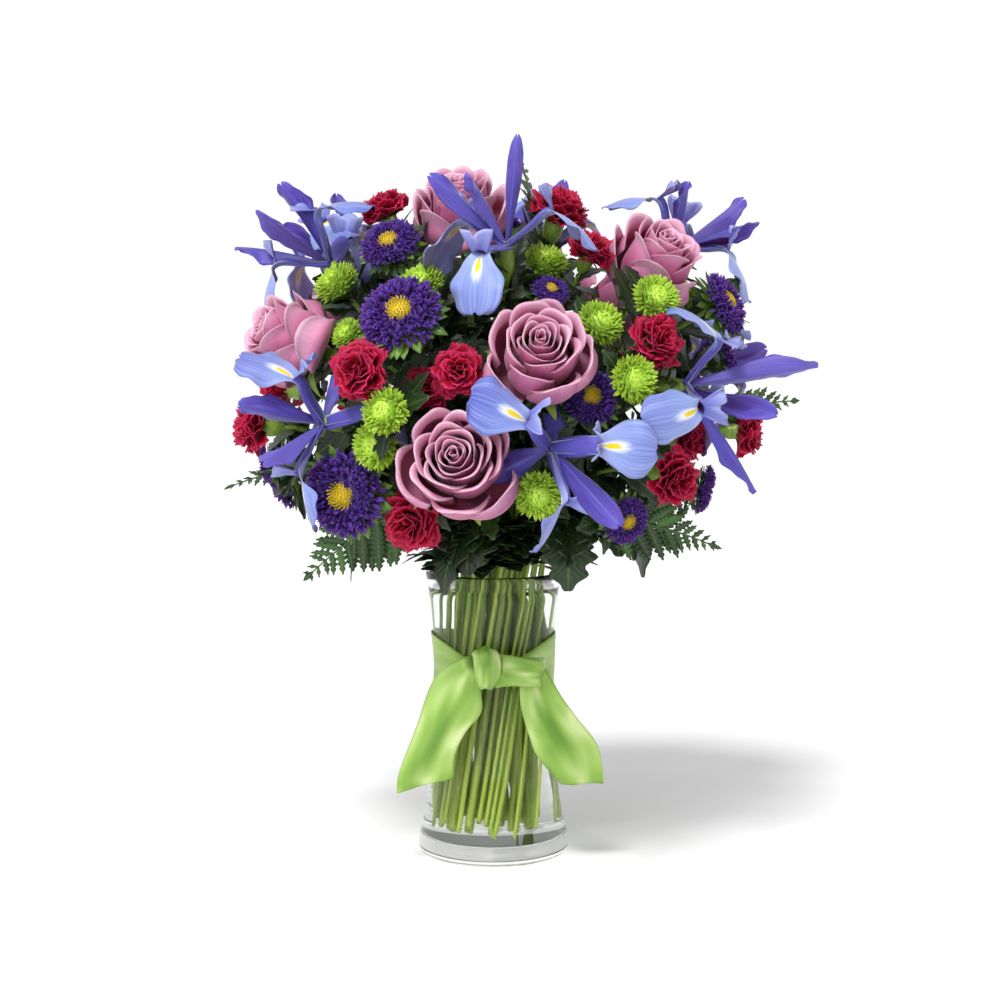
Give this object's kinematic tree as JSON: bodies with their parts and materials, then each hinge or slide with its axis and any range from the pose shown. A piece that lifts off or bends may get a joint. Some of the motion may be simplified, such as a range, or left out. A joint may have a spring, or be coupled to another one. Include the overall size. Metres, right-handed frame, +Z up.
{
  "type": "flower bouquet in a vase",
  "caption": "Hand-tied bouquet of irises with roses, carnations, asters, button mums and fern, in a flared glass vase of water with a satin ribbon.",
  "frame": {"origin": "centre of the vase's underside, where it stands on a table", "axes": "+Z up along the vase's axis towards the blooms, -Y towards the front, where the ribbon is tied, +X to the viewer's right"},
  "size_m": [0.3992, 0.3501, 0.5072],
  "materials": {
    "clear_glass": "clear, polished",
    "water": "clear",
    "satin_ribbon": "satin",
    "rose_petals": "matte, velvety",
    "iris_petals": "matte, velvety",
    "carnation_petals": "matte",
    "aster_petals": "matte",
    "button_mum_petals": "matte",
    "green_leaf": "satin",
    "fern_leaf": "satin, leathery"
  },
  "bodies": {
    "root": {"vase": "clear_glass", "water": "water", "ribbon": "satin_ribbon", "rose_1": "rose_petals", "rose_2": "rose_petals", "rose_3": "rose_petals", "rose_4": "rose_petals", "rose_5": "rose_petals", "rose_6": "rose_petals", "rose_7": "rose_petals", "rose_8": "rose_petals", "iris_1": "iris_petals", "iris_2": "iris_petals", "iris_3": "iris_petals", "iris_4": "iris_petals", "iris_5": "iris_petals", "iris_6": "iris_petals", "iris_7": "iris_petals", "iris_8": "iris_petals", "iris_9": "iris_petals", "iris_10": "iris_petals", "carnation_1": "carnation_petals", "carnation_2": "carnation_petals", "carnation_3": "carnation_petals", "carnation_4": "carnation_petals", "carnation_5": "carnation_petals", "carnation_6": "carnation_petals", "carnation_7": "carnation_petals", "carnation_8": "carnation_petals", "carnation_9": "carnation_petals", "aster_1": "aster_petals", "aster_2": "aster_petals", "aster_3": "aster_petals", "aster_4": "aster_petals", "aster_5": "aster_petals", "aster_6": "aster_petals", "aster_7": "aster_petals", "mum_1": "button_mum_petals", "mum_2": "button_mum_petals", "mum_3": "button_mum_petals", "mum_4": "button_mum_petals", "mum_5": "button_mum_petals", "mum_6": "button_mum_petals", "fern_1": "fern_leaf", "fern_2": "fern_leaf", "fern_3": "fern_leaf", "fern_4": "fern_leaf", "fern_5": "fern_leaf", "fern_6": "fern_leaf", "fern_7": "fern_leaf", "fern_8": "fern_leaf", "leaf_1": "green_leaf", "leaf_2": "green_leaf", "leaf_3": "green_leaf", "leaf_4": "green_leaf", "leaf_5": "green_leaf"}
  },
  "joints": []
}
